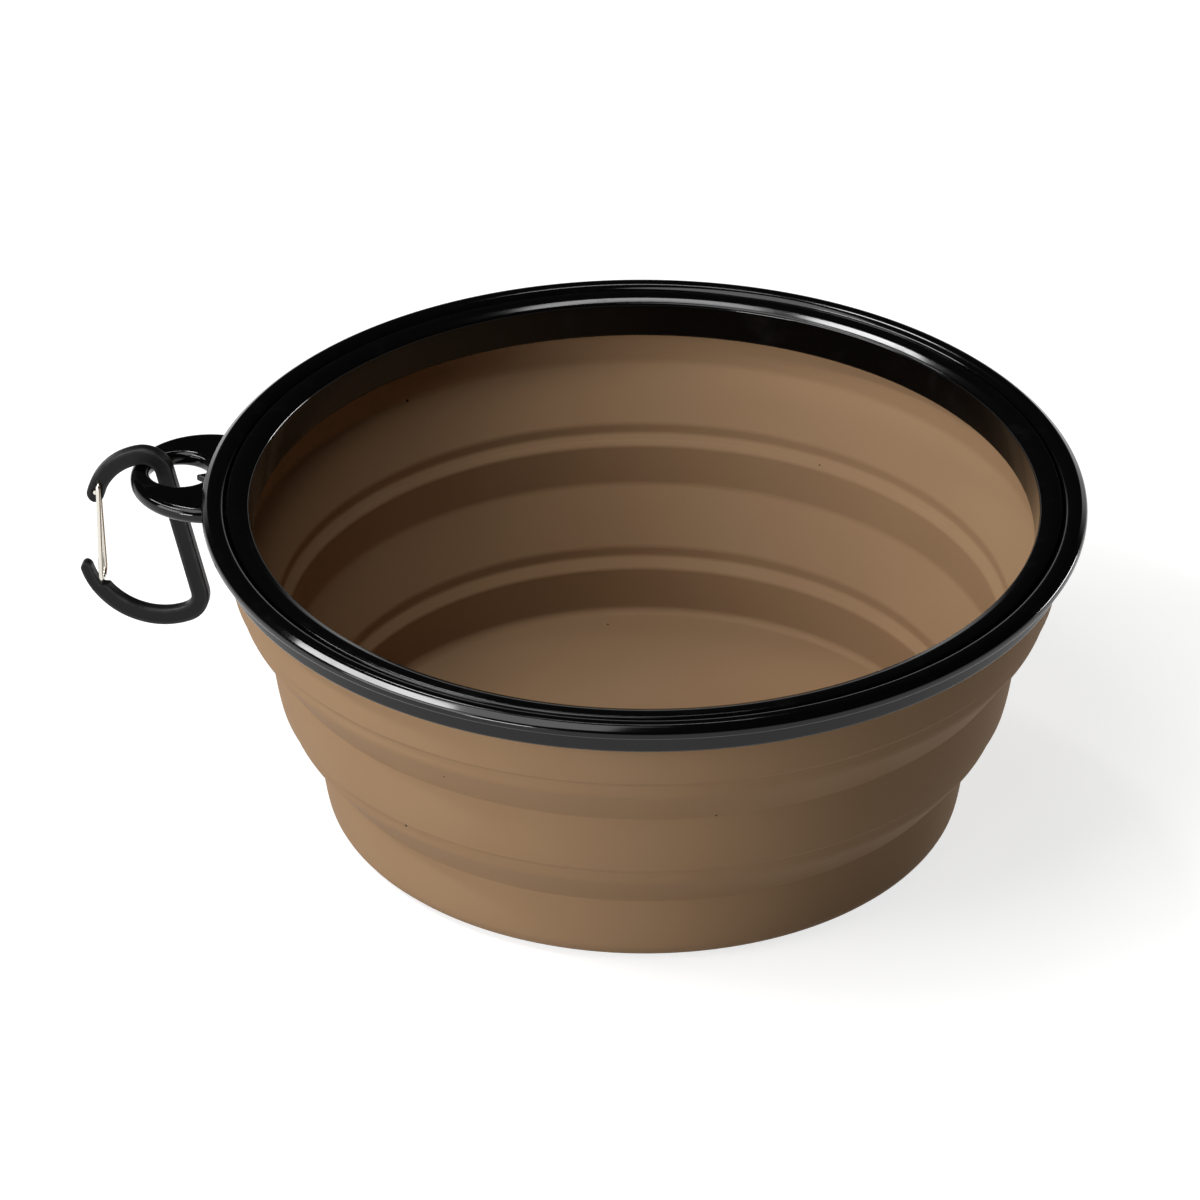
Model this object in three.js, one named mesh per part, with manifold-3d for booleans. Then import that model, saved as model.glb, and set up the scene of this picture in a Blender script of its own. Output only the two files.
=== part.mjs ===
// Collapsible dog bowl: a folding silicone bowl in a two-piece rim, with a carabiner on the rim's hang loop.
// Millimetres, +Z up. The origin is the centre of the flat underside, and the hang loop points along -X.

import * as THREE from 'three';
import { mergeVertices } from 'three/addons/utils/BufferGeometryUtils.js';
import Module from 'manifold-3d';

const wasm = await Module();
wasm.setup();

// Clearance between neighbouring pieces, and how finely round things are faceted
const GAP = 0.3;
const ROUND_SIDES = 48;
const SECTION_STEPS = 2;
const EDGE_STEPS = 2;
const CLIP_ARC_STEPS = 4;
const LOOP_ARC_STEPS = 12;
const SPUR_STEPS = 3;
const HOLE_SIDES = 12;
const MERGE_DISTANCE = 1e-4;

// Silicone bowl: base cup
const WALL = 2.2;
const BASE_TOP_RADIUS = 66.4;
const BASE_TOP_HEIGHT = 15.7;
const FLOOR_THICKNESS = 3.5;
const FLOOR_FILLET = 5;
const FOOT_FILLET = 4;

// Silicone bowl: the two folding tiers, each a slanting web, a hinge groove and an upright barrel
const BARREL_RADIUS = 54;
const HINGE_GROOVE_HEIGHT = 3.85;
const HINGE_GROOVE_DEPTH = 0.7;
const HINGE_STEP = 0.5;
const SHOULDER_ROUND = 0.8;
const SHOULDER_LEDGE_OUT = 1.8;
const SHOULDER_LEDGE_UP = 2.1;
const INNER_STEP_OUT = 0.15;
const INNER_STEP_UP = 2.2;
const INNER_BAND_ROUND = 1;
const LOWER_TIER_STEP = 9.9;
const LOWER_TIER_RISE = 25.6;
const LOWER_HINGE_DROP = 13.45;
const LOWER_SHOULDER_IN = 2.2;
const LOWER_SHOULDER_DROP = 0.9;
const LOWER_BAND_INSET = 3.7;
const LOWER_BAND_RISE = 2.85;
const UPPER_TIER_STEP = 8.5;
const UPPER_TIER_RISE = 22.2;
const UPPER_HINGE_DROP = 9.25;
const UPPER_SHOULDER_IN = 3.1;
const UPPER_SHOULDER_DROP = 1.8;
const UPPER_BAND_INSET = 2.9;
const UPPER_BAND_RISE = 0.75;

// Silicone bowl: the lip that the rim clamps
const LIP_HEIGHT = 4;
const LIP_BEAD_OUT = 1.2;
const LIP_BEAD_HEIGHT = 1.6;
const LIP_BEAD_ROUND = 0.4;

// Rim frame: a skirt outside the lip, under a rounded flange
const SKIRT_WALL = 1.4;
const SKIRT_DROP = 3.5;
const SKIRT_ROUND = 0.6;
const FLANGE_OVERHANG = 2.3;
const FLANGE_UNDERSIDE_RISE = 0.7;
const FLANGE_EDGE_ROUND = 0.7;
const FLANGE_CREST_INSET = 2.7;
const FLANGE_CREST_RISE = 3.5;
const FLANGE_INNER_FALL = 1.3;

// Retaining ring: a wall inside the lip, under a flange that covers the lip
const RETAINER_WALL = 3;
const RETAINER_DROP = 5;
const RETAINER_ROUND = 0.6;
const RETAINER_SEAM_RISE = 2.9;
const RETAINER_CREST_RISE = 3.2;
const RETAINER_CREST_INSET = 2;
const RETAINER_CREST_ROUND = 1.2;
const RETAINER_EDGE_RISE = 2.3;
const RETAINER_EDGE_INSET = 4.5;
const RETAINER_EDGE_ROUND = 0.35;

// Hang loop on the rim frame
const LOOP_REACH = 16.3;
const LOOP_RADIUS = 16.2;
const LOOP_BAR = 3.8;
const LOOP_HOLE_RADIUS = 6.2;
const LOOP_THICKNESS = 3.4;
const LOOP_EDGE_ROUND = 1.2;
const LOOP_SPUR_LENGTH = 2.8;
const LOOP_SPUR_WIDTH = 2.8;

// Carabiner body: a flat bar whose centre line is a chain of arcs and one straight spine
const CLIP_WIDTH = 3.7;
const CLIP_THICKNESS = 2.4;
const CLIP_EDGE_ROUND = 0.45;
const CROWN_PLAY = 0.45;
const CROWN_OFFSET = 0.8;
const HOOK_RADIUS = 12.9;
const HOOK_TILT = THREE.MathUtils.degToRad(16);
const HOOK_TIP_ANGLE = THREE.MathUtils.degToRad(168);
const SPINE_TILT = THREE.MathUtils.degToRad(14);
const SPINE_LENGTH = 28.6;
const CORNER_RADIUS = 4.75;
const CORNER_TURN = THREE.MathUtils.degToRad(78);
const BOTTOM_RADIUS = 14.75;
const NOSE_ANGLE = THREE.MathUtils.degToRad(197.8);
const NOSE_WIDTH = 2.4;
const NOSE_STEP_ANGLE = THREE.MathUtils.degToRad(216);
const NOSE_STEP_SLOPE = THREE.MathUtils.degToRad(3.5);

// Wire gate
const WIRE_RADIUS = 0.5;
const WIRE_SIDES = 6;
const WIRE_STEPS = 72;
const WIRE_BEND_RADIUS = 0.9;
const WIRE_STUB = 0.9;
const HALF_TURN_HANDLE = 4 / 3;
const GATE_PIVOT_ANGLE = THREE.MathUtils.degToRad(156);
const GATE_TAIL_ANGLE = THREE.MathUtils.degToRad(165.5);
const GATE_SEAT_ANGLE = THREE.MathUtils.degToRad(212.3);

// Materials
const SILICONE = { color: 0x927459, roughness: 0.75, metalness: 0 };
const RIM_PLASTIC = { color: 0x0e0e0f, roughness: 0.2, metalness: 0 };
const ANODISED_BLACK = { color: 0x2a2a2b, roughness: 0.45, metalness: 0.6 };
const STEEL_WIRE = { color: 0xd8d5ce, roughness: 0.25, metalness: 1 };

/** A point of a section, as radius and height, or of a flat outline. */
function point(x, y) {
  return new THREE.Vector2(x, y);
}

/** The point at an angle and a distance from a centre. */
function polar(centre, distance, angle) {
  return point(centre.x + distance * Math.cos(angle), centre.y + distance * Math.sin(angle));
}

/** A finished piece: a named mesh with its own material. */
function piece(name, geometry, finish) {
  const mesh = new THREE.Mesh(geometry, new THREE.MeshStandardMaterial(finish));
  mesh.name = name;
  return mesh;
}

/** Runs a section to a corner and round it. The round starts and ends at a given distance from the corner. */
function roundCorner(path, corner, next, round) {
  const before = corner.clone().add(path.currentPoint.clone().sub(corner).setLength(round));
  const after = corner.clone().add(next.clone().sub(corner).setLength(round));
  path.lineTo(before.x, before.y);
  path.quadraticCurveTo(corner.x, corner.y, after.x, after.y);
}

/** Revolves a section about the Z axis. */
function revolve(section) {
  const geometry = new THREE.LatheGeometry(section.getPoints(SECTION_STEPS), ROUND_SIDES);
  return geometry.rotateX(Math.PI / 2);
}

/** A closed geometry as a solid that can be joined and cut. */
function solidOf(geometry) {
  const bare = geometry.clone();
  bare.deleteAttribute('normal');
  bare.deleteAttribute('uv');
  const merged = mergeVertices(bare, MERGE_DISTANCE);
  const vertProperties = new Float32Array(merged.attributes.position.array);
  const triVerts = new Uint32Array(merged.index.array);
  return new wasm.Manifold(new wasm.Mesh({ numProp: 3, vertProperties, triVerts }));
}

/** A solid as a geometry. */
function geometryOf(solid) {
  const mesh = solid.getMesh();
  const geometry = new THREE.BufferGeometry();
  geometry.setAttribute('position', new THREE.BufferAttribute(mesh.vertProperties, mesh.numProp));
  geometry.setIndex(new THREE.BufferAttribute(mesh.triVerts, 1));
  return geometry;
}

// Tiers of the bowl

/** The key points of one folding tier, from the notch at its foot to the notch at its top. */
function foldingTier(notch, shape) {
  const top = point(notch.x + shape.step, notch.y + shape.rise);
  const arcCentre = point(top.x - BARREL_RADIUS, top.y);
  const grooveTopAngle = -Math.asin(shape.hingeDrop / BARREL_RADIUS);
  const grooveBottomAngle = -Math.asin((shape.hingeDrop + HINGE_GROOVE_HEIGHT) / BARREL_RADIUS);
  const webTop = polar(arcCentre, BARREL_RADIUS, grooveBottomAngle).sub(point(HINGE_STEP, 0));
  const grooveHeight = top.y - shape.hingeDrop - HINGE_GROOVE_HEIGHT / 2;
  const shoulder = point(notch.x - shape.shoulderIn, notch.y - shape.shoulderDrop);
  const ledgeInner = point(shoulder.x + SHOULDER_LEDGE_OUT, shoulder.y + SHOULDER_LEDGE_UP);
  const stepTop = point(ledgeInner.x + INNER_STEP_OUT, ledgeInner.y + INNER_STEP_UP);
  const bandFoot = point(top.x - shape.bandInset, top.y - shape.hingeDrop + shape.bandRise);
  return {
    notch, top, arcCentre, grooveTopAngle, webTop, grooveHeight, shoulder, ledgeInner, stepTop, bandFoot,
  };
}

/** The groove's deepest point on the outside, at a height close to its middle. */
function grooveFloor(tier, height) {
  const drop = tier.top.y - height;
  const outer = tier.arcCentre.x + Math.sqrt(BARREL_RADIUS ** 2 - drop ** 2);
  return point(outer - HINGE_GROOVE_DEPTH, height);
}

/** The point at a height on the straight line through two points of a section. */
function along(from, to, height) {
  return from.clone().lerp(to, (height - from.y) / (to.y - from.y));
}

/** The inside of the wall at a height on its cone, from the inner step to the foot of the upright band. */
function innerCone(tier, height) {
  return along(tier.stepTop, tier.bandFoot, height);
}

/** The inside of the ledge, at a height between the shoulder and the inner step. */
function innerLedge(tier, height) {
  return along(tier.shoulder, tier.ledgeInner, height);
}

/** Adds the barrel of a tier to a section, upwards from the top of its hinge groove to the notch above. */
function addBarrel(path, tier) {
  const topAngle = -Math.asin(GAP / 2 / BARREL_RADIUS);
  path.absarc(tier.arcCentre.x, tier.arcCentre.y, BARREL_RADIUS, tier.grooveTopAngle, topAngle, false);
}

/** Closes the top of a rigid zone under a tier: from the notch through the wall and down to the shoulder. */
function addLedgeRoot(path, tier, below) {
  const inside = innerLedge(tier, tier.notch.y - GAP / 2);
  path.lineTo(inside.x, inside.y);
  roundCorner(path, tier.shoulder, below, SHOULDER_ROUND);
}

const lowerTier = foldingTier(point(BASE_TOP_RADIUS, BASE_TOP_HEIGHT), {
  step: LOWER_TIER_STEP,
  rise: LOWER_TIER_RISE,
  hingeDrop: LOWER_HINGE_DROP,
  shoulderIn: LOWER_SHOULDER_IN,
  shoulderDrop: LOWER_SHOULDER_DROP,
  bandInset: LOWER_BAND_INSET,
  bandRise: LOWER_BAND_RISE,
});
const upperTier = foldingTier(lowerTier.top, {
  step: UPPER_TIER_STEP,
  rise: UPPER_TIER_RISE,
  hingeDrop: UPPER_HINGE_DROP,
  shoulderIn: UPPER_SHOULDER_IN,
  shoulderDrop: UPPER_SHOULDER_DROP,
  bandInset: UPPER_BAND_INSET,
  bandRise: UPPER_BAND_RISE,
});

/** The floor and base wall, up to the hinge under the lower tier. */
function baseCup() {
  const wallCentre = point(BASE_TOP_RADIUS - BARREL_RADIUS, BASE_TOP_HEIGHT);
  const topAngle = -Math.asin(GAP / 2 / BARREL_RADIUS);
  const footAngle = -Math.asin((BASE_TOP_HEIGHT - FOOT_FILLET) / BARREL_RADIUS);
  const foot = polar(wallCentre, BARREL_RADIUS, footAngle);
  const footCorner = foot.x + FOOT_FILLET * Math.tan(footAngle);
  const filletHeight = FLOOR_THICKNESS + FLOOR_FILLET;
  const filletAngle = -Math.asin((BASE_TOP_HEIGHT - filletHeight) / BARREL_RADIUS);
  const innerWallRadius = polar(wallCentre, BARREL_RADIUS - WALL, filletAngle).x;
  const section = new THREE.Path();
  section.moveTo(0, 0);
  section.lineTo(footCorner - FOOT_FILLET, 0);
  section.quadraticCurveTo(footCorner, 0, foot.x, foot.y);
  section.absarc(wallCentre.x, wallCentre.y, BARREL_RADIUS, footAngle, topAngle, false);
  addLedgeRoot(section, lowerTier, point(innerWallRadius, filletHeight));
  section.absarc(innerWallRadius - FLOOR_FILLET, filletHeight, FLOOR_FILLET, 0, -Math.PI / 2, true);
  section.lineTo(0, FLOOR_THICKNESS);
  return revolve(section);
}

/** The web between a tier's two hinges, which turns over when the bowl is pressed flat. */
function fold(tier) {
  const low = tier.notch.y + GAP / 2;
  const high = tier.grooveHeight - GAP / 2;
  const bottomOuter = along(tier.notch, tier.webTop, low);
  const bottomInner = innerLedge(tier, low);
  const groove = grooveFloor(tier, high);
  const inner = innerCone(tier, high);
  const section = new THREE.Path();
  section.moveTo(bottomInner.x, bottomInner.y);
  section.lineTo(bottomOuter.x, bottomOuter.y);
  roundCorner(section, tier.webTop, groove, HINGE_GROOVE_DEPTH);
  section.lineTo(groove.x, groove.y);
  section.lineTo(inner.x, inner.y);
  section.lineTo(tier.stepTop.x, tier.stepTop.y);
  section.lineTo(tier.ledgeInner.x, tier.ledgeInner.y);
  section.closePath();
  return revolve(section);
}

/** Starts the section of a rigid zone at the hinge groove at its foot, up its barrel. */
function startAboveGroove(tier) {
  const low = tier.grooveHeight + GAP / 2;
  const groove = grooveFloor(tier, low);
  const inner = innerCone(tier, low);
  const grooveTop = polar(tier.arcCentre, BARREL_RADIUS, tier.grooveTopAngle);
  const section = new THREE.Path();
  section.moveTo(inner.x, inner.y);
  section.lineTo(groove.x, groove.y);
  section.lineTo(grooveTop.x, grooveTop.y);
  addBarrel(section, tier);
  return section;
}

/** Ends such a section down the inside of the tier, along its upright band and round onto its cone. */
function endAtGroove(section, tier) {
  roundCorner(section, tier.bandFoot, tier.stepTop, INNER_BAND_ROUND);
  section.closePath();
  return revolve(section);
}

/** The stiff ring between the two folds. */
function middleRing() {
  const section = startAboveGroove(lowerTier);
  addLedgeRoot(section, upperTier, lowerTier.bandFoot);
  return endAtGroove(section, lowerTier);
}

const lipRadius = upperTier.top.x;
const lipInner = lipRadius - WALL;
const lipTop = upperTier.top.y + LIP_HEIGHT;
const beadRadius = lipRadius + LIP_BEAD_OUT;
const beadBottom = lipTop - LIP_BEAD_HEIGHT;

/** The top of the silicone: the ring above the upper fold, and the beaded lip in the rim. */
function upperRing() {
  const section = startAboveGroove(upperTier);
  section.lineTo(lipRadius, beadBottom);
  roundCorner(section, point(beadRadius, beadBottom), point(beadRadius, lipTop), LIP_BEAD_ROUND);
  roundCorner(section, point(beadRadius, lipTop), point(lipInner, lipTop), LIP_BEAD_ROUND);
  section.lineTo(lipInner, lipTop);
  section.lineTo(lipInner, upperTier.top.y);
  return endAtGroove(section, upperTier);
}

// Rim

const skirtInner = lipRadius + GAP;
const pocketRadius = beadRadius + GAP;
const skirtOuter = pocketRadius + SKIRT_WALL;
const skirtBottom = lipTop - SKIRT_DROP;
const rimRadius = skirtOuter + FLANGE_OVERHANG;
const rimTop = lipTop + FLANGE_CREST_RISE;
const loopMiddle = skirtBottom + LOOP_THICKNESS / 2;
const loopTip = -(rimRadius + LOOP_REACH);

/** The ring outside the lip: a skirt with a pocket for the lip's bead, under a rounded flange. */
function rimRing() {
  const pocketTop = lipTop + GAP;
  const pocketBottom = beadBottom - GAP;
  const underside = lipTop + FLANGE_UNDERSIDE_RISE;
  const edge = underside + FLANGE_EDGE_ROUND;
  const crestRadius = rimRadius - FLANGE_CREST_INSET;
  const crestWidth = crestRadius - skirtInner;
  const innerEdge = rimTop - FLANGE_INNER_FALL;
  const section = new THREE.Path();
  section.moveTo(skirtInner, skirtBottom);
  roundCorner(section, point(skirtOuter, skirtBottom), point(skirtOuter, underside), SKIRT_ROUND);
  section.lineTo(skirtOuter, underside);
  roundCorner(section, point(rimRadius, underside), point(rimRadius, rimTop), FLANGE_EDGE_ROUND);
  section.absellipse(crestRadius, edge, FLANGE_CREST_INSET, rimTop - edge, 0, Math.PI / 2, false);
  section.absellipse(crestRadius, innerEdge, crestWidth, FLANGE_INNER_FALL, Math.PI / 2, Math.PI, false);
  section.lineTo(skirtInner, pocketTop);
  section.lineTo(pocketRadius, pocketTop);
  section.lineTo(pocketRadius, pocketBottom);
  section.lineTo(skirtInner, pocketBottom);
  section.closePath();
  return revolve(section);
}

/** A flat outline made a plate of a given thickness with rounded edges, centred on its own plane. */
function roundedPlate(outline, thickness, round, steps) {
  const geometry = new THREE.ExtrudeGeometry(outline, {
    depth: thickness - 2 * round,
    curveSegments: steps,
    bevelThickness: round,
    bevelSize: round,
    bevelOffset: -round,
    bevelSegments: EDGE_STEPS,
  });
  return geometry.translate(0, 0, round - thickness / 2);
}

/** The hang loop: a half disc that grows out of the skirt, with a round hole and a small spur in it. */
function hangLoop() {
  const centre = loopTip + LOOP_RADIUS;
  const holeCentre = loopTip + LOOP_BAR + LOOP_HOLE_RADIUS;
  const holeEdge = holeCentre + LOOP_HOLE_RADIUS;
  const disc = new THREE.Shape();
  disc.absarc(centre, 0, LOOP_RADIUS, 0, 2 * Math.PI, false);
  const hole = new THREE.Path();
  hole.absarc(holeCentre, 0, LOOP_HOLE_RADIUS, 0, 2 * Math.PI, true);
  disc.holes.push(hole);
  const spur = new THREE.Shape();
  spur.moveTo(holeEdge + LOOP_EDGE_ROUND, LOOP_SPUR_WIDTH / 2);
  spur.lineTo(holeEdge, LOOP_SPUR_WIDTH / 2);
  spur.quadraticCurveTo(holeEdge - 2 * LOOP_SPUR_LENGTH, 0, holeEdge, -LOOP_SPUR_WIDTH / 2);
  spur.lineTo(holeEdge + LOOP_EDGE_ROUND, -LOOP_SPUR_WIDTH / 2);
  const spurHeight = LOOP_THICKNESS - LOOP_EDGE_ROUND;
  const spurShape = { depth: spurHeight, curveSegments: SPUR_STEPS, bevelEnabled: false };
  const spurPlate = new THREE.ExtrudeGeometry(spur, spurShape).translate(0, 0, -spurHeight / 2);
  const ring = solidOf(roundedPlate(disc, LOOP_THICKNESS, LOOP_EDGE_ROUND, LOOP_ARC_STEPS));
  return ring.add(solidOf(spurPlate)).translate([0, 0, loopMiddle]);
}

/** The rim ring and its hang loop, moulded as one. */
function rimFrame() {
  const root = skirtOuter - SKIRT_WALL / 2;
  const core = new THREE.CylinderGeometry(root, root, 2 * rimTop, ROUND_SIDES).rotateX(Math.PI / 2);
  return geometryOf(solidOf(rimRing()).add(hangLoop().subtract(solidOf(core))));
}

/** The ring inside the lip, with a flange over the lip that meets the rim ring at a fine seam. */
function retainingRing() {
  const outer = lipInner - GAP;
  const inner = outer - RETAINER_WALL;
  const bottom = lipTop - RETAINER_DROP;
  const underside = lipTop + GAP;
  const seam = point(lipRadius, lipTop + RETAINER_SEAM_RISE);
  const crest = point(lipRadius - RETAINER_CREST_INSET, lipTop + RETAINER_CREST_RISE);
  const edge = point(lipRadius - RETAINER_EDGE_INSET, lipTop + RETAINER_EDGE_RISE);
  const foot = point(inner, bottom);
  const section = new THREE.Path();
  section.moveTo(inner + RETAINER_ROUND, bottom);
  roundCorner(section, point(outer, bottom), point(outer, underside), RETAINER_ROUND / 2);
  section.lineTo(outer, underside);
  section.lineTo(lipRadius, underside);
  roundCorner(section, seam, crest, RETAINER_ROUND);
  roundCorner(section, crest, edge, RETAINER_CREST_ROUND);
  roundCorner(section, edge, foot, RETAINER_EDGE_ROUND);
  roundCorner(section, foot, point(outer, bottom), RETAINER_ROUND);
  section.closePath();
  return revolve(section);
}

// Carabiner, drawn about the middle of the loop's bar, with outline x along X and outline y along Z

const halfWidth = CLIP_WIDTH / 2;
const barReach = LOOP_EDGE_ROUND
  + Math.hypot(LOOP_BAR / 2 - LOOP_EDGE_ROUND, LOOP_THICKNESS / 2 - LOOP_EDGE_ROUND);
const crownRadius = barReach + CROWN_PLAY + halfWidth;
const crown = point(CROWN_OFFSET, 0);
const hookAngle = Math.PI / 2 + HOOK_TILT;
const hook = polar(crown, HOOK_RADIUS - crownRadius, hookAngle + Math.PI);
const spineTop = polar(crown, crownRadius, SPINE_TILT);
const spineFoot = polar(spineTop, SPINE_LENGTH, SPINE_TILT - Math.PI / 2);
const corner = polar(spineFoot, CORNER_RADIUS, SPINE_TILT + Math.PI);
const cornerEnd = SPINE_TILT - CORNER_TURN;
const bottom = polar(corner, BOTTOM_RADIUS - CORNER_RADIUS, cornerEnd + Math.PI);
const noseInner = BOTTOM_RADIUS + halfWidth - NOSE_WIDTH;
const gatePivot = polar(hook, HOOK_RADIUS, GATE_PIVOT_ANGLE);
const gateTail = polar(hook, HOOK_RADIUS, GATE_TAIL_ANGLE);
const gateSeat = polar(bottom, noseInner - GAP - WIRE_RADIUS, GATE_SEAT_ANGLE);
const wireHoleRadius = WIRE_RADIUS + GAP;

/** Adds an arc of the carabiner's outline about a centre of its centre line. */
function addArc(outline, centre, radius, from, to, clockwise) {
  outline.absarc(centre.x, centre.y, radius, from, to, clockwise);
}

/** Along the outside from the hook's tip to the nose, and back along the inside. */
function carabinerOutline() {
  const outline = new THREE.Shape();
  const nose = polar(bottom, noseInner + NOSE_WIDTH / 2, NOSE_ANGLE);
  const tip = polar(hook, HOOK_RADIUS, HOOK_TIP_ANGLE);
  const stepEnd = NOSE_STEP_ANGLE + NOSE_STEP_SLOPE;
  addArc(outline, hook, HOOK_RADIUS + halfWidth, HOOK_TIP_ANGLE, hookAngle, true);
  addArc(outline, crown, crownRadius + halfWidth, hookAngle, SPINE_TILT, true);
  addArc(outline, corner, CORNER_RADIUS + halfWidth, SPINE_TILT, cornerEnd, true);
  addArc(outline, bottom, BOTTOM_RADIUS + halfWidth, cornerEnd, NOSE_ANGLE - 2 * Math.PI, true);
  addArc(outline, nose, NOSE_WIDTH / 2, NOSE_ANGLE, NOSE_ANGLE - Math.PI, true);
  addArc(outline, bottom, noseInner, NOSE_ANGLE, NOSE_STEP_ANGLE, false);
  addArc(outline, bottom, BOTTOM_RADIUS - halfWidth, stepEnd, cornerEnd + 2 * Math.PI, false);
  addArc(outline, corner, CORNER_RADIUS - halfWidth, cornerEnd, SPINE_TILT, false);
  addArc(outline, crown, crownRadius - halfWidth, SPINE_TILT, hookAngle, false);
  addArc(outline, hook, HOOK_RADIUS - halfWidth, hookAngle, HOOK_TIP_ANGLE, false);
  addArc(outline, tip, halfWidth, HOOK_TIP_ANGLE + Math.PI, HOOK_TIP_ANGLE, true);
  return outline;
}

/** The hooked bar with its two wire holes. */
function carabinerBody() {
  const plate = roundedPlate(carabinerOutline(), CLIP_THICKNESS, CLIP_EDGE_ROUND, CLIP_ARC_STEPS);
  let bar = solidOf(plate.rotateX(Math.PI / 2));
  for (const end of [gatePivot, gateTail]) {
    const drill = new THREE.CylinderGeometry(wireHoleRadius, wireHoleRadius, 2 * CLIP_THICKNESS, HOLE_SIDES);
    bar = bar.subtract(solidOf(drill.translate(end.x, 0, end.y)));
  }
  return geometryOf(bar);
}

/** The gate: a wire turned into its hole in front, down to a U-bend in the nose, and up behind the hook. */
function wireGate() {
  const legY = CLIP_THICKNESS / 2 + GAP + WIRE_RADIUS;
  const at = (place, y, up = 0) => new THREE.Vector3(place.x, y, place.y + up);
  const frontTop = at(gatePivot, -legY);
  const backTop = at(gateTail, legY);
  const frontFoot = at(gateSeat, -legY, legY);
  const backFoot = at(gateSeat, legY, legY);
  const down = frontFoot.clone().sub(frontTop).setLength(WIRE_BEND_RADIUS);
  const bendStart = at(gatePivot, WIRE_BEND_RADIUS - legY);
  const bendEnd = frontTop.clone().add(down);
  const turn = legY * (1 - HALF_TURN_HANDLE);
  const path = new THREE.CurvePath();
  path.add(new THREE.LineCurve3(at(gatePivot, WIRE_STUB - CLIP_THICKNESS / 2), bendStart));
  path.add(new THREE.QuadraticBezierCurve3(bendStart, frontTop, bendEnd));
  path.add(new THREE.LineCurve3(bendEnd, frontFoot));
  const handles = [at(gateSeat, -legY, turn), at(gateSeat, legY, turn)];
  path.add(new THREE.CubicBezierCurve3(frontFoot, ...handles, backFoot));
  path.add(new THREE.LineCurve3(backFoot, backTop));
  const round = new THREE.Shape().absarc(0, 0, WIRE_RADIUS, 0, 2 * Math.PI, false);
  const sweep = { steps: WIRE_STEPS, extrudePath: path, curveSegments: WIRE_SIDES / 2 };
  return new THREE.ExtrudeGeometry(round, sweep);
}

// Assembly

const bowl = new THREE.Group();
bowl.name = 'collapsible_dog_bowl';
bowl.add(
  piece('base_cup', baseCup(), SILICONE),
  piece('lower_fold', fold(lowerTier), SILICONE),
  piece('middle_ring', middleRing(), SILICONE),
  piece('upper_fold', fold(upperTier), SILICONE),
  piece('upper_ring', upperRing(), SILICONE),
  piece('rim_frame', rimFrame(), RIM_PLASTIC),
  piece('retaining_ring', retainingRing(), RIM_PLASTIC),
);

const clip = new THREE.Group();
clip.position.set(loopTip + LOOP_BAR / 2, 0, loopMiddle);
clip.add(
  piece('carabiner_body', carabinerBody(), ANODISED_BLACK),
  piece('wire_gate', wireGate(), STEEL_WIRE),
);
bowl.add(clip);

export default bowl;
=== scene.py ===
# %% [markdown]
# # Dressing a collapsible dog bowl
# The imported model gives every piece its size, place and motion. This lesson builds the fine
# surfaces over it: a silicone bowl that folds, a glossy two-piece rim with a hang loop, and a
# carabiner with a wire gate. Loading comes first, because each piece made below is fitted to a
# node of the frame.

import math

import bmesh
import bpy
from mathutils import Matrix, Quaternion, Vector


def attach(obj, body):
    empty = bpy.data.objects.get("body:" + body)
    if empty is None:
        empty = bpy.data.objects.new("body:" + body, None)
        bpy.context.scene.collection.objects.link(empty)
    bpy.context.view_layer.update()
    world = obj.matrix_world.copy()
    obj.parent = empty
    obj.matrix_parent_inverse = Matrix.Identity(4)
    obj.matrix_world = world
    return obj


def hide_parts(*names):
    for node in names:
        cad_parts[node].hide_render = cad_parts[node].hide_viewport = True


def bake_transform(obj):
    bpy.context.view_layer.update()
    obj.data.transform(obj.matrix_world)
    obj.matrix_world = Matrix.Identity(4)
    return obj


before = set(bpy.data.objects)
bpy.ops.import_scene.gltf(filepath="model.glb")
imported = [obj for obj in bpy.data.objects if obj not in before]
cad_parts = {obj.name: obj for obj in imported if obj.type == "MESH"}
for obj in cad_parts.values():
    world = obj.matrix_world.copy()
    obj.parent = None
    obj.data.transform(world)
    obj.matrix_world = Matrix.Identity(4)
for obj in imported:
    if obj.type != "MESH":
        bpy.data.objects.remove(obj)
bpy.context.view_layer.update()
scene = bpy.context.scene
MM = 0.001
print("nodes:", ", ".join(sorted(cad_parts)))

# %% [markdown]
# ## Camera
# A product shot taken with a long lens has little perspective, so the camera stands far back and
# its lens is long. It looks down at about thirty degrees, from a little to the right of straight
# in front, with the hang loop on the left. The camera is slid sideways and up instead of being
# given a lens shift, so that other views stay centred.

# %% Camera at the photograph's viewing angle
AZIMUTH = math.radians(9.5)
ELEVATION = math.radians(31.26)
ROLL = math.radians(0.19)
DISTANCE = 2289 * MM
LENS_MM = 335.5
SENSOR_MM = 36
FAR_CLIP = 100
AIM = Vector((0, 0, 36 * MM))
SLIDE_RIGHT = -8.95 * MM
SLIDE_UP = 8.53 * MM


def direction(azimuth, elevation):
    """The unit vector towards a viewer or lamp at that azimuth and elevation."""
    flat = math.cos(elevation)
    return Vector((math.sin(azimuth) * flat, -math.cos(azimuth) * flat, math.sin(elevation)))


def facing(towards):
    """The turn that makes a camera or lamp look back along a direction."""
    return (-towards).to_track_quat("-Z", "Y")


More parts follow.
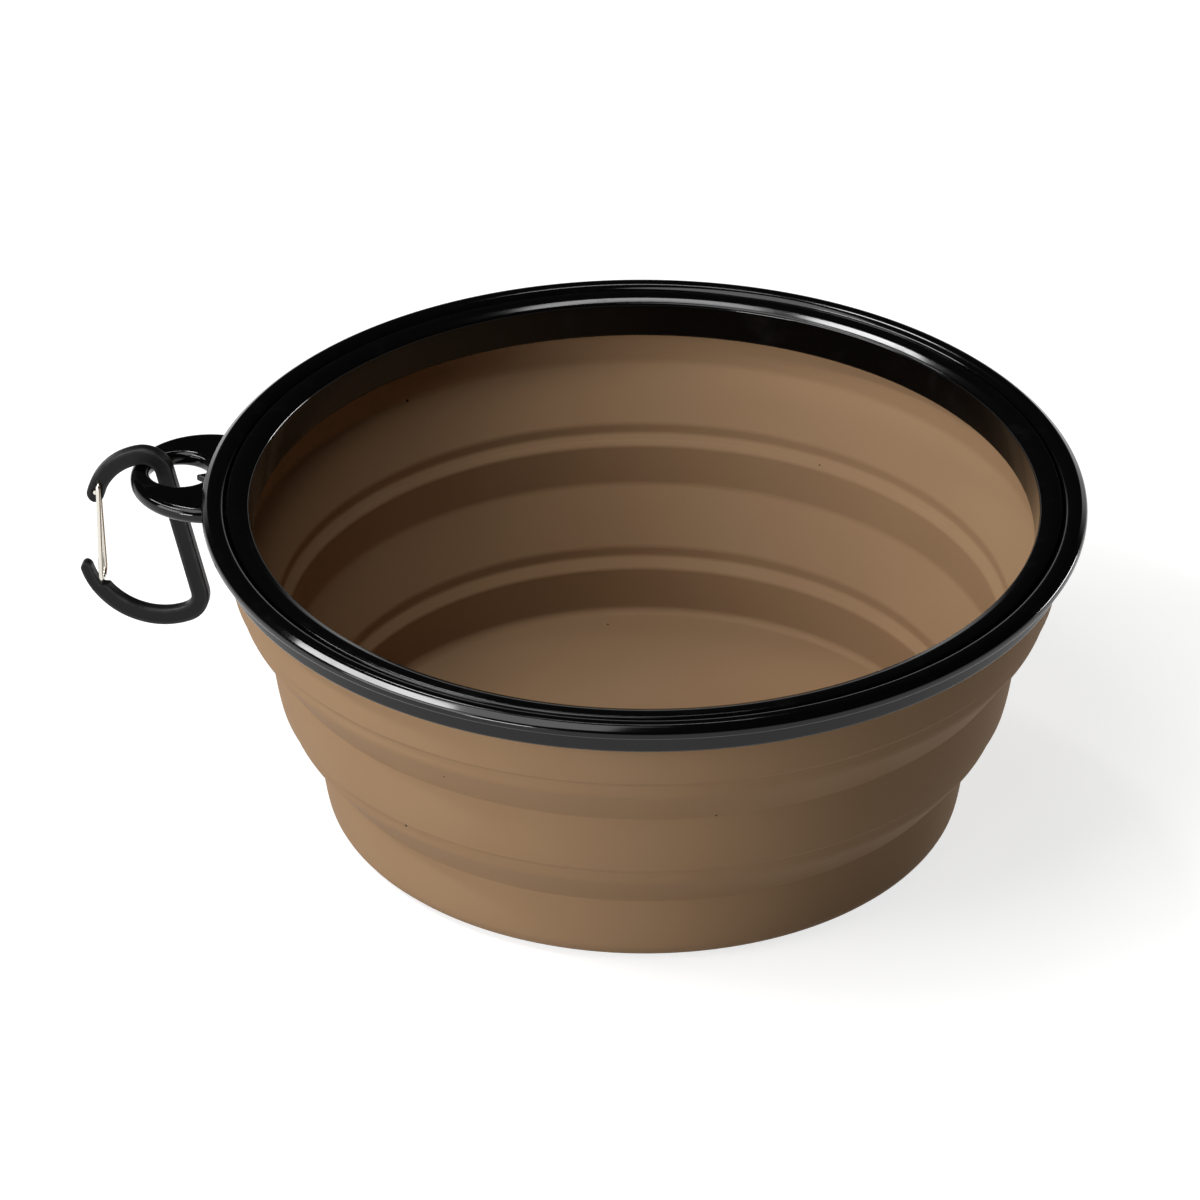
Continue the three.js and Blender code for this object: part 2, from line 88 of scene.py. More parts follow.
camera = bpy.data.objects.new("photo_camera", bpy.data.cameras.new("photo_camera"))
camera.data.lens = LENS_MM
camera.data.sensor_width = SENSOR_MM
camera.data.clip_end = FAR_CLIP
camera.rotation_mode = "QUATERNION"
view_turn = facing(direction(AZIMUTH, ELEVATION))
slide = view_turn @ Vector((SLIDE_RIGHT, SLIDE_UP, 0))
camera.location = AIM + direction(AZIMUTH, ELEVATION) * DISTANCE + slide
camera.rotation_quaternion = view_turn @ Quaternion((0, 0, 1), ROLL)
scene.collection.objects.link(camera)
scene.camera = camera
print("camera at", [round(x, 3) for x in camera.location])

# %% [markdown]
# ## Nodes and colours
# Every material below is a small graph of nodes. One function adds a node, sets its properties,
# and fills its inputs with plain values or with the outputs of other nodes, so a graph reads from
# top to bottom. Colours are written as sRGB hex, the way a colour picker shows them, and one
# function makes them linear. The Mix node has inputs of several types with the same names, so its
# colours are reached by number.

# %% A function that adds a node, and others for colours and pattern sizes
MIX_FIRST_COLOUR, MIX_SECOND_COLOUR, MIX_COLOUR_RESULT = 6, 7, 2


def add(tree, kind, inputs=None, **settings):
    """Adds a node with its settings, and links or sets its inputs."""
    node = tree.nodes.new(kind)
    for name, value in settings.items():
        setattr(node, name, value)
    for socket, value in (inputs or {}).items():
        if isinstance(value, bpy.types.NodeSocket):
            tree.links.new(value, node.inputs[socket])
        else:
            node.inputs[socket].default_value = value
    return node


def colour(hex_code):
    """An sRGB hex colour as linear red, green, blue and alpha."""
    shares = [int(hex_code[i:i + 2], 16) / 255 for i in (1, 3, 5)]
    return [c / 12.92 if c <= 0.04045 else ((c + 0.055) / 1.055) ** 2.4 for c in shares] + [1]


def mixed(tree, share, first, second):
    """A colour that goes from the first to the second as the share goes from 0 to 1."""
    mix = add(tree, "ShaderNodeMix", {
        "Factor": share, MIX_FIRST_COLOUR: first, MIX_SECOND_COLOUR: second}, data_type="RGBA")
    return mix.outputs[MIX_COLOUR_RESULT]


def per(size_mm):
    """The scale of a texture whose features are that many millimetres across."""
    return 1 / (size_mm * MM)


def new_material(name):
    """An empty node material, its tree and its output node."""
    material = bpy.data.materials.new(name)
    material.use_nodes = True
    material.node_tree.nodes.clear()
    return material, material.node_tree, add(material.node_tree, "ShaderNodeOutputMaterial")


scene.view_settings.view_transform = "Standard"
print("a mid grey in linear light:", round(colour("#808080")[0], 3))

# %% [markdown]
# ## Floor
# The studio is a white sweep of paper. The floor is a grey that takes the bowl's shadow, and a
# glow that only camera, glossy and transmission rays see lifts it to white. A floor that was
# white by itself would throw more light up at the bowl and wash out its shaded side.

# %% Floor
FLOOR_HALF = 4
FLOOR_DROP = 0.2 * MM
FLOOR_GREY = "#aeaead"
FLOOR_GLOW = 0.74
WHITE = (1, 1, 1, 1)


def seen_directly(tree):
    """A value that is 1 for camera, glossy and transmission rays."""
    path = add(tree, "ShaderNodeLightPath").outputs
    two = add(tree, "ShaderNodeMath", {0: path["Is Camera Ray"], 1: path["Is Glossy Ray"]},
              operation="MAXIMUM")
    return add(tree, "ShaderNodeMath", {0: two.outputs[0], 1: path["Is Transmission Ray"]},
               operation="MAXIMUM").outputs[0]


sweep, tree, output = new_material("white_sweep")
glow = add(tree, "ShaderNodeMath", {0: seen_directly(tree), 1: FLOOR_GLOW}, operation="MULTIPLY")
paper = add(tree, "ShaderNodeBsdfPrincipled", {
    "Base Color": colour(FLOOR_GREY), "Roughness": 0.9, "Specular IOR Level": 0.1,
    "Emission Color": WHITE, "Emission Strength": glow.outputs[0]})
tree.links.new(paper.outputs[0], output.inputs["Surface"])

bm = bmesh.new()
bmesh.ops.create_grid(bm, x_segments=1, y_segments=1, size=FLOOR_HALF)
bmesh.ops.translate(bm, verts=bm.verts, vec=(0, 0, -FLOOR_DROP))
floor = bpy.data.objects.new("floor", bpy.data.meshes.new("floor"))
bm.to_mesh(floor.data)
bm.free()
floor.data.materials.append(sweep)
scene.collection.objects.link(floor)
print("floor", 2 * FLOOR_HALF, "m across")

# %% [markdown]
# ## World
# For the rays that see it directly, the world is white at the horizon and dark overhead, as a
# studio is above its sweep, so glossy black plastic stays black on top and picks up white from
# the floor. Diffuse rays get a weak even light, which leaves the shading of the bowl to the lamps.

# %% World
AMBIENT = 0.015
HORIZON = 0.06
OVERHEAD = 0.18
OVERHEAD_LIGHT = 0.02
MIX_FIRST_VALUE, MIX_SECOND_VALUE = 2, 3

world = bpy.data.worlds.new("white_studio")
world.use_nodes = True
scene.world = world
tree = world.node_tree
tree.nodes.clear()
sight = add(tree, "ShaderNodeTexCoord").outputs["Generated"]
height = add(tree, "ShaderNodeSeparateXYZ", {0: sight})
wall = add(tree, "ShaderNodeMapRange", {
    "Value": height.outputs["Z"], "From Min": HORIZON, "From Max": OVERHEAD,
    "To Min": 1.0, "To Max": OVERHEAD_LIGHT})
strength = add(tree, "ShaderNodeMix", {
    0: seen_directly(tree), MIX_FIRST_VALUE: AMBIENT, MIX_SECOND_VALUE: wall.outputs[0]})
air = add(tree, "ShaderNodeBackground", {"Strength": strength.outputs[0]})
add(tree, "ShaderNodeOutputWorld", {"Surface": air.outputs[0]})
print(world.name, len(tree.nodes), "nodes")

# %% [markdown]
# ## Lamps
# The dark inside of the left wall and the bright inside of the right wall say that the light comes
# from the left. Two broad softboxes in front and above on that side, and a low card, light the
# silicone. Another low card behind on the right keeps the shaded outside from going black, and is
# too low to reach the inside. Each streak on the glossy rim tells where a narrow lamp stands, since
# a flat facet shows it like a mirror: a slanted strip on the left for the streak in front, and two
# small strips behind for those on the far side.

# %% Softboxes, low cards and strips
LAMP_DISTANCE = 1.4
LAMPS = {
    "front_softbox": {"azimuth": -60, "elevation": 21, "wide": 0.8, "high": 0.6, "watts": 9.8},
    "high_softbox": {"azimuth": -54, "elevation": 65, "wide": 0.9, "high": 0.9, "watts": 10.0},
    "low_card": {"azimuth": -34, "elevation": 6, "wide": 0.4, "high": 0.12, "watts": 7.2},
    "fill_card": {"azimuth": 120, "elevation": 4, "wide": 0.5, "high": 0.14, "watts": 6.0},
    "side_strip": {"azimuth": -86, "elevation": 46.5, "wide": 0.85, "high": 0.1, "watts": 6.6,
                   "tilt": 35},
    "back_strip": {"azimuth": 179.5, "elevation": 65.8, "wide": 0.36, "high": 0.09, "watts": 1.1},
    "back_left_strip": {"azimuth": -157.5, "elevation": 57, "wide": 0.1, "high": 0.24,
                        "watts": 2.2},
}
for name, lamp in LAMPS.items():
    light = bpy.data.lights.new(name, "AREA")
    light.shape = "RECTANGLE"
    light.size = lamp["wide"]
    light.size_y = lamp["high"]
    light.energy = lamp["watts"]
    towards = direction(AZIMUTH + math.radians(lamp["azimuth"]), math.radians(lamp["elevation"]))
    tilt = Quaternion((0, 0, 1), math.radians(lamp.get("tilt", 0)))
    stand = bpy.data.objects.new(name, light)
    stand.rotation_mode = "QUATERNION"
    stand.location = AIM + towards * LAMP_DISTANCE
    stand.rotation_quaternion = facing(towards) @ tilt
    scene.collection.objects.link(stand)
    print(name, lamp["watts"], "W")

# %% [markdown]
# ## Silicone
# The bowl is food-grade silicone rubber, pressed in a mould with a fine blasted finish. To the eye
# it is a matte, slightly dusty brown, with a trace of the lint that silicone attracts. Noise in
# object coordinates makes this without unwrapping, and has no seams. The mould's grain is far finer
# than a pixel, so it is drawn coarser, at half a millimetre, to show at all.

# %% Moulded silicone
SILICONE_TONES = ("#91765a", "#896d52")
CLOUD_MM = 30
LINT_TONE = "#2a1d14"
LINT_SPACING_MM = 11
LINT_REACH = 0.03
LINT_FREE_SHARE = 0.35
GRAIN_MM = 0.5
GRAIN_DEPTH = 0.08 * MM

silicone, tree, output = new_material("moulded_silicone_rubber")
place = add(tree, "ShaderNodeTexCoord").outputs["Object"]
cloud = add(tree, "ShaderNodeTexNoise", {
    "Vector": place, "Scale": per(CLOUD_MM), "Detail": 3.0})
tone = mixed(tree, cloud.outputs["Fac"], *map(colour, SILICONE_TONES))
cells = add(tree, "ShaderNodeTexVoronoi", {"Vector": place, "Scale": per(LINT_SPACING_MM)})
fleck = add(tree, "ShaderNodeMath", {0: cells.outputs["Distance"], 1: LINT_REACH},
            operation="LESS_THAN")
chosen = add(tree, "ShaderNodeSeparateColor", {0: cells.outputs["Color"]})
linty = add(tree, "ShaderNodeMath", {0: chosen.outputs[0], 1: LINT_FREE_SHARE},
            operation="GREATER_THAN")
lint = add(tree, "ShaderNodeMath", {0: fleck.outputs[0], 1: linty.outputs[0]},
           operation="MULTIPLY")
grain = add(tree, "ShaderNodeTexNoise", {"Vector": place, "Scale": per(GRAIN_MM), "Detail": 2.0})
blasted = add(tree, "ShaderNodeBump", {
    "Height": grain.outputs["Fac"], "Strength": 0.12, "Distance": GRAIN_DEPTH})
matte = add(tree, "ShaderNodeMapRange", {
    "Value": grain.outputs["Fac"], "To Min": 0.55, "To Max": 0.72})
skin = add(tree, "ShaderNodeBsdfPrincipled", {
    "Base Color": mixed(tree, lint.outputs[0], tone, colour(LINT_TONE)),
    "Roughness": matte.outputs[0], "IOR": 1.41, "Specular IOR Level": 0.1,
    "Normal": blasted.outputs[0]})
tree.links.new(skin.outputs[0], output.inputs["Surface"])
print(silicone.name, len(tree.nodes), "nodes")

# %% [markdown]
# ## Rim plastic
# The rim is injection-moulded ABS from a polished mould: jet black, with sharp reflections that
# waver a little because the wall sank as it cooled. Handling leaves dull smudges, which show as
# paler, rougher patches, so one noise drives both the tone and the roughness.

# %% Glossy moulded ABS
GLOSS_TONES = ("#040404", "#0a0a0a")
SMUDGE_MM = 9
WAVER_MM = 14
WAVER_DEPTH = 0.15 * MM

gloss, tree, output = new_material("glossy_black_abs")
place = add(tree, "ShaderNodeTexCoord").outputs["Object"]
smudge = add(tree, "ShaderNodeTexNoise", {
    "Vector": place, "Scale": per(SMUDGE_MM), "Detail": 6.0, "Roughness": 0.65})
handled = add(tree, "ShaderNodeMapRange", {
    "Value": smudge.outputs["Fac"], "From Min": 0.56, "From Max": 0.74})
polish = add(tree, "ShaderNodeMapRange", {
    "Value": handled.outputs[0], "To Min": 0.1, "To Max": 0.16})
waver = add(tree, "ShaderNodeTexNoise", {"Vector": place, "Scale": per(WAVER_MM), "Detail": 1.0})
sunken = add(tree, "ShaderNodeBump", {
    "Height": waver.outputs["Fac"], "Strength": 0.03, "Distance": WAVER_DEPTH})
plastic = add(tree, "ShaderNodeBsdfPrincipled", {
    "Base Color": mixed(tree, handled.outputs[0], *map(colour, GLOSS_TONES)),
    "Roughness": polish.outputs[0], "IOR": 1.5, "Specular IOR Level": 0.32,
    "Normal": sunken.outputs[0]})
tree.links.new(plastic.outputs[0], output.inputs["Surface"])
print(gloss.name, len(tree.nodes), "nodes")

# %% [markdown]
# ## Carabiner finish
# The carabiner is stamped aluminium, tumbled and anodised black: satin, dark, and worn to a paler
# grey along its edges. The same paler grey is also painted highlight, for the light that its rounded
# edges catch. The sweep that makes the bar marks its rounded edges in an attribute, and the paler
# grey follows that attribute, broken up by a noise so that the wear and the painted highlight aren't
# even.

# %% Black anodised aluminium
# The attribute and the second tone mark the rounded edges: partly wear, partly painted highlight.
EDGE_WEAR_AND_HIGHLIGHT = "edge_wear_and_highlight"
ANODISED_AND_HIGHLIGHT_TONES = ("#0c0c0d", "#323234")
RUB_AND_GLINT_MM = 2.5
TUMBLED_MM = 0.4
PIT_DEPTH = 0.05 * MM

anodised, tree, output = new_material("black_anodised_aluminium")
place = add(tree, "ShaderNodeTexCoord").outputs["Object"]
edge = add(tree, "ShaderNodeAttribute", attribute_name=EDGE_WEAR_AND_HIGHLIGHT)
rub_and_glint = add(tree, "ShaderNodeTexNoise", {"Vector": place, "Scale": per(RUB_AND_GLINT_MM), "Detail": 4.0})
patchy = add(tree, "ShaderNodeMapRange", {
    "Value": rub_and_glint.outputs["Fac"], "From Min": 0.2, "From Max": 0.8})
# Paler rounded edges: wear and painted highlight in one tone.
worn_and_highlit = add(tree, "ShaderNodeMath", {0: edge.outputs["Fac"], 1: patchy.outputs[0]},
           operation="MULTIPLY")
tumbled = add(tree, "ShaderNodeTexNoise", {
    "Vector": place, "Scale": per(TUMBLED_MM), "Detail": 2.0})
satin = add(tree, "ShaderNodeMapRange", {
    "Value": tumbled.outputs["Fac"], "To Min": 0.34, "To Max": 0.5})
pitted = add(tree, "ShaderNodeBump", {
    "Height": tumbled.outputs["Fac"], "Strength": 0.15, "Distance": PIT_DEPTH})
metal = add(tree, "ShaderNodeBsdfPrincipled", {
    "Base Color": mixed(tree, worn_and_highlit.outputs[0], *map(colour, ANODISED_AND_HIGHLIGHT_TONES)),
    "Metallic": 0.2, "Roughness": satin.outputs[0], "Specular IOR Level": 0.2,
    "Normal": pitted.outputs[0]})
tree.links.new(metal.outputs[0], output.inputs["Surface"])
print(anodised.name, len(tree.nodes), "nodes")

# %% [markdown]
# ## Gate wire
# The gate is spring steel wire, drawn through a die and left bright. Drawing leaves fine lines
# along the wire, which runs mostly upright, so a noise that is stretched upwards makes the polish
# vary.

# %% Bright drawn steel wire
STEEL_TONE = "#d9d5cc"
LINE_MM = 0.15
LINE_STRETCH = (1, 1, 0.05)

steel, tree, output = new_material("drawn_spring_steel")
place = add(tree, "ShaderNodeTexCoord").outputs["Object"]
along = add(tree, "ShaderNodeMapping", {"Vector": place, "Scale": LINE_STRETCH})
lines = add(tree, "ShaderNodeTexNoise", {
    "Vector": along.outputs[0], "Scale": per(LINE_MM), "Detail": 2.0})
drawn = add(tree, "ShaderNodeMapRange", {
    "Value": lines.outputs["Fac"], "To Min": 0.16, "To Max": 0.32})
wire = add(tree, "ShaderNodeBsdfPrincipled", {
    "Base Color": colour(STEEL_TONE), "Metallic": 1.0, "Roughness": drawn.outputs[0]})
tree.links.new(wire.outputs[0], output.inputs["Surface"])
print(steel.name, len(tree.nodes), "nodes")

# %% [markdown]
# ## Turned sections
# The bowl and both rim rings are round, so each is one section spun about the Z axis. A section is
# drawn as a line of corners, and each corner is rounded by a vertex bevel, which gives an arc
# between its two edges. Long edges are cut into short ones, so that a wall which bends when the
# bowl folds has points to bend at. The longest ones, such as the floor's, stay whole.

# %% Drawing and spinning a section
ROUND_STEPS = 8
SPIN_STEPS = 240
CUT_LENGTH = 0.7 * MM
CUT_LIMIT = 20


def round_off(bm, corners, size, steps=ROUND_STEPS):
    """Rounds corners of a line, by a size in millimetres, and returns the points of the arcs."""
    return bmesh.ops.bevel(bm, geom=corners, offset=size * MM, offset_type="OFFSET",
                           affect="VERTICES", segments=steps, profile=0.5, material=-1)["verts"]


def section(corners, closed=True):
    """A line in the XZ plane through corners of radius, height and round, in millimetres."""
    bm = bmesh.new()
    points = [bm.verts.new((r * MM, 0, z * MM)) for r, z, _ in corners]
    ends = points[1:] + points[:1] if closed else points[1:]
    for start, end in zip(points, ends):
        bm.edges.new((start, end))
    for vert, (_, _, rounding) in zip(points, corners):
        if rounding:
            round_off(bm, [vert], rounding)
    for edge in list(bm.edges):
        cuts = int(edge.calc_length() / CUT_LENGTH)
        if 0 < cuts <= CUT_LIMIT:
            bmesh.ops.bisect_edges(bm, edges=[edge], cuts=cuts)
    return bm


def spun(bm):
    """The section spun all the way round the Z axis."""
    bmesh.ops.spin(bm, geom=bm.verts[:] + bm.edges[:], cent=(0, 0, 0), axis=(0, 0, 1),
                   angle=2 * math.pi, steps=SPIN_STEPS, use_merge=True, use_duplicate=False)
    return bm


print("rings have", SPIN_STEPS, "steps and rounds have", ROUND_STEPS)

# %% [markdown]
# ## Finishing a piece
# Every piece ends the same way: doubled points are welded, normals are turned outwards, and edges
# that fold sharply are marked so that shading breaks there. A weighted-normal modifier keeps flat
# and conical stretches evenly shaded right up to their rounds. The count of open edges tells
# whether the surface is closed.

# %% Finishing a piece
WELD = 0.002 * MM
SHARP = math.radians(48)


def finished(bm, name, material):
    """The bmesh as a smooth piece with its material."""
    bmesh.ops.remove_doubles(bm, verts=bm.verts, dist=WELD)
    bmesh.ops.recalc_face_normals(bm, faces=bm.faces)
    for face in bm.faces:
        face.smooth = True
    for edge in bm.edges:
        edge.smooth = edge.calc_face_angle(0) < SHARP
    open_edges = sum(not edge.is_manifold for edge in bm.edges)
    piece = bpy.data.objects.new(name, bpy.data.meshes.new(name))
    bm.to_mesh(piece.data)
    bm.free()
    piece.data.materials.append(material)
    scene.collection.objects.link(piece)
    even = piece.modifiers.new("even_shading", "WEIGHTED_NORMAL")
    even.keep_sharp = True
    print(name, len(piece.data.polygons), "faces,", open_edges, "open edges")
    return piece


print("shading breaks past", round(math.degrees(SHARP)), "degrees")

# %% [markdown]
# ## Tiers of the bowl
# Both folding tiers repeat one kind of section. Outside, from its foot, it has a crisp notch, a
# straight slanting web, a hinge groove with one soft and one crisp edge, and a barrel that bulges
# up to the next notch. The three notches are points measured on the photograph, and functions give
# the corners between them, so that both tiers follow the same rule.

# %% Corners of a tier's outside
NOTCHES = ((66.4, 15.7), (76.3, 41.3), (84.8, 63.5))
NOTCH_ROUND = 0.25
HINGE_DROPS = (13.45, 9.25)
HINGE_ROUND = 0.2
BARREL_RADIUS = 54
BARREL_SLACK = 0.1
GROOVE_HEIGHT = 3.85
GROOVE_DEPTH = 0.7
GROOVE_CREASE = 0.6
GROOVE_STEP = 0.5
CREASE_ROUND = 0.3
WEB_ROUND = 1.2


def barrel(top, drop):
    """The corner that rounds into a barrel, from a point that lies a drop below its top."""
    swell = BARREL_RADIUS * math.tan(math.asin(drop / BARREL_RADIUS) / 2)
    return top[0], top[1] - swell, swell - NOTCH_ROUND - BARREL_SLACK


def outside_of(tier):
    """Corners of a tier's outside, from the top of its web up to the barrel."""
    top_radius, top_height = NOTCHES[tier + 1]
    drop = HINGE_DROPS[tier]

    def on_barrel(depth):
        return top_radius - BARREL_RADIUS + math.sqrt(BARREL_RADIUS ** 2 - depth ** 2)

    crease = drop + GROOVE_CREASE
    web_top = drop + GROOVE_HEIGHT
    return [
        (on_barrel(web_top) - GROOVE_STEP, top_height - web_top, WEB_ROUND),
        (on_barrel(crease) - GROOVE_DEPTH, top_height - crease, CREASE_ROUND),
        (on_barrel(drop), top_height - drop, HINGE_ROUND),
        barrel(NOTCHES[tier + 1], drop),
    ]


print("notches at", NOTCHES)

# %% [markdown]
# Inside, from its top, a tier has an upright band, a cone, a small step, a slanting ledge and a
# shoulder. The ledge and the step are placed from the shoulder below them.

# %% Corners of a tier's inside
SHOULDERS = ((64.2, 14.8), (73.2, 39.5))
BAND_FEET = ((72.6, 30.7), (81.9, 55.0))
BAND_ROUND = 0.6
STEP_OUT = 0.15
STEP_UP = 2.2
STEP_ROUND = 0.5
LEDGE_OUT = 1.8
LEDGE_UP = 2.1
LEDGE_ROUND = 0.4


def inside_of(tier):
    """Corners of a tier's inside, from the foot of the upright band down to the inner ledge."""
    radius, height = SHOULDERS[tier]
    ledge = (radius + LEDGE_OUT, height + LEDGE_UP)
    return [
        (*BAND_FEET[tier], BAND_ROUND),
        (ledge[0] + STEP_OUT, ledge[1] + STEP_UP, STEP_ROUND),
        (*ledge, LEDGE_ROUND),
    ]


print("shoulders at", SHOULDERS)

# %% [markdown]
# ## The silicone bowl
# One skin can bend across only one joint, so the bowl is two skins that meet where nothing bends:
# at the foot of the upper tier's web outside, and on the flat of its ledge inside. Both skins have
# the same points there, and the same slope on both sides, so the meeting doesn't show. The lower
# skin takes the place of the base, the lower fold and the middle ring.

# %% Lower skin, from the floor to the upper ledge
FLOOR_THICKNESS = 4.4
FLOOR_FILLET = 1.5
FOOT_FILLET = 4
FLOOR_RADIUS = 63.7
SEAM_SHARE = 0.15
SHOULDER_EDGE = 0.4

base_radius, base_height = NOTCHES[0]
foot_drop = base_height - FOOT_FILLET
foot_turn = math.asin(foot_drop / BARREL_RADIUS)
foot_radius = (base_radius - BARREL_RADIUS * (1 - math.cos(foot_turn))
               - FOOT_FILLET * math.tan(foot_turn))
upper_web_top = outside_of(1)[0]
seam_outside = [
    foot + SEAM_SHARE * (top - foot) for foot, top in zip(NOTCHES[1], upper_web_top)] + [0]
seam_inside = (SHOULDERS[1][0] + LEDGE_OUT / 2, SHOULDERS[1][1] + LEDGE_UP / 2, 0)

lower_corners = [
    (0, 0, 0), (foot_radius, 0, FOOT_FILLET), barrel(NOTCHES[0], foot_drop),
    (*NOTCHES[0], NOTCH_ROUND), *outside_of(0), (*NOTCHES[1], NOTCH_ROUND),
    seam_outside, seam_inside,
    (*SHOULDERS[1], SHOULDER_EDGE), *inside_of(0), (*SHOULDERS[0], SHOULDER_EDGE),
    (FLOOR_RADIUS, FLOOR_THICKNESS, FLOOR_FILLET), (0, FLOOR_THICKNESS, 0),
]
lower_line = section(lower_corners, closed=False)
lower_skin = finished(spun(lower_line), "silicone_lower", silicone)
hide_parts("base_cup", "lower_fold", "middle_ring")
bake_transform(lower_skin)

# %% [markdown]
# The upper skin takes the place of the upper fold and the upper ring. It ends in a lip with a bead
# outside, which sits in a pocket of the rim and keeps the silicone from pulling out.

# %% Upper skin, from the upper ledge to the lip in the rim
WALL = 2.2
LIP_HEIGHT = 4
LIP_ROUND = 0.3
LIP_BEAD_OUT = 1.2
LIP_BEAD_HEIGHT = 1.6
LIP_BEAD_ROUND = 0.4

lip_radius, barrel_top = NOTCHES[2]
lip_top = barrel_top + LIP_HEIGHT
bead_radius = lip_radius + LIP_BEAD_OUT
bead_bottom = lip_top - LIP_BEAD_HEIGHT
upper_corners = [
    seam_outside, *outside_of(1),
    (lip_radius, bead_bottom, LIP_ROUND), (bead_radius, bead_bottom, LIP_BEAD_ROUND),
    (bead_radius, lip_top, LIP_BEAD_ROUND), (lip_radius - WALL, lip_top, LIP_ROUND),
    (lip_radius - WALL, barrel_top, 0), *inside_of(1), seam_inside,
]
upper_skin = finished(spun(section(upper_corners)), "silicone_upper", silicone)
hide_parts("upper_fold", "upper_ring")
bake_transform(upper_skin)

# %% [markdown]
# ## Rim frame
# The rim frame is a skirt outside the silicone lip, under a rolled flange that reaches past it. Its
# sizes are counted outwards and upwards from the lip, with a small gap all round, so that the
# silicone and the plastic never share a surface.

# %% Sizes of the rim frame
GAP = 0.3
SKIRT_WALL = 1.4
SKIRT_DROP = 3.5
FLANGE_OVERHANG = 2.3
FLANGE_UNDERSIDE = 0.7
FLANGE_CREST = 3.5
FLANGE_EDGE = 0.7

skirt_inner = lip_radius + GAP
pocket_radius = bead_radius + GAP
skirt_outer = pocket_radius + SKIRT_WALL
skirt_bottom = lip_top - SKIRT_DROP
rim_radius = skirt_outer + FLANGE_OVERHANG
rim_top = lip_top + FLANGE_CREST
pocket_top = lip_top + GAP
pocket_bottom = bead_bottom - GAP
underside = lip_top + FLANGE_UNDERSIDE
flange_edge = underside + FLANGE_EDGE
print("rim", 2 * rim_radius, "mm across and", rim_top, "mm high")

# %% [markdown]
# The roll is half of an octagon with rounded corners. Outside, small rounds leave a flat facet,
# which catches one clean streak of light; inside, the rounds nearly meet.

# %% Rim frame's ring
SKIRT_INNER_ROUND = 0.3
SKIRT_OUTER_ROUND = 0.6
UNDERCUT_ROUND = 0.35
FLANGE_ROUND = 0.65
FACET_ROUND = 0.5
ROLL_ROUND = 0.95
OCTAGON = math.tan(math.pi / 8)


def roll(inner, outer, foot, top):
    """Corners of a roll between two radii: a facet outside, and rounds that nearly meet inside."""
    half, rise = (outer - inner) / 2, top - foot
    middle = inner + half
    slack = OCTAGON * min(half, rise)
    side = foot + OCTAGON * rise
    return [
        (outer, side, FACET_ROUND * slack), (middle + OCTAGON * half, top, FACET_ROUND * slack),
        (middle - OCTAGON * half, top, ROLL_ROUND * slack), (inner, side, ROLL_ROUND * slack),
    ]


frame_corners = [
    (skirt_inner, skirt_bottom, SKIRT_INNER_ROUND), (skirt_outer, skirt_bottom, SKIRT_OUTER_ROUND),
    (skirt_outer, underside, UNDERCUT_ROUND), (rim_radius, underside, FLANGE_ROUND),
    *roll(skirt_inner, rim_radius, flange_edge, rim_top),
    (skirt_inner, pocket_top, 0), (pocket_radius, pocket_top, 0),
    (pocket_radius, pocket_bottom, 0), (skirt_inner, pocket_bottom, 0),
]
rim_ring = spun(section(frame_corners))
print("rim frame's ring", len(rim_ring.faces), "faces")

# %% [markdown]
# ## Hang loop
# The loop is a flat half disc moulded onto the skirt, with a round hole and rounded edges. Its
# outer edge and its hole are two round edges with different centres, so each is a half-round line
# spun about its own axis. A solid disc with a drilled hole could be bevelled instead, but its
# bevels would nearly meet in the middle, where they easily overlap.

# %% Rounded edge of the loop
LOOP_THICKNESS = 3.4
LOOP_EDGE = 1.55
LOOP_STEPS = 96


def each_once(items):
    """The items in their order, without repeats."""
    return list(dict.fromkeys(items))


def round_edge(bm, centre_x, radius, inwards):
    """Spins the plate's rounded edge about an upright axis; returns its lowest and highest rims."""
    corner = radius * MM
    flat = (radius + inwards * LOOP_EDGE) * MM
    low, high = skirt_bottom * MM, (skirt_bottom + LOOP_THICKNESS) * MM
    line = [bm.verts.new((x, 0, z))
            for x, z in ((flat, low), (corner, low), (corner, high), (flat, high))]
    for pair in zip(line, line[1:]):
        bm.edges.new(pair)
    arcs = round_off(bm, line[1:3], LOOP_EDGE)
    profile = each_once([line[0], line[3], *arcs])
    strip = each_once(edge for vert in profile for edge in vert.link_edges)
    bmesh.ops.translate(bm, verts=profile, vec=(centre_x * MM, 0, 0))
    before = set(bm.verts) - set(profile)
    bmesh.ops.spin(bm, geom=profile + strip, cent=(centre_x * MM, 0, 0), axis=(0, 0, 1),
                   angle=2 * math.pi, steps=LOOP_STEPS, use_merge=True, use_duplicate=False)
    made = [vert for vert in bm.verts if vert not in before]
    rims = []
    for level in (low, high):
        rim = {vert for vert in made if abs(vert.co.z - level) < WELD}
        rims.append([edge for edge in bm.edges
                     if len(edge.link_faces) == 1 and set(edge.verts) <= rim])
    return rims


print("loop", LOOP_THICKNESS, "mm thick with edges rounded by", LOOP_EDGE, "mm")

# %% [markdown]
# A fill closes the flat faces between the two round edges, and a plane cuts away what would reach
# through the skirt.

# %% Loop with its hole
LOOP_REACH = 16.3
LOOP_RADIUS = 16.2
LOOP_BAR = 3.8
LOOP_HOLE_RADIUS = 6.2
LOOP_CUT = 1.35

loop_tip = -(rim_radius + LOOP_REACH)
loop_middle = skirt_bottom + LOOP_THICKNESS / 2
hole_x = loop_tip + LOOP_BAR + LOOP_HOLE_RADIUS

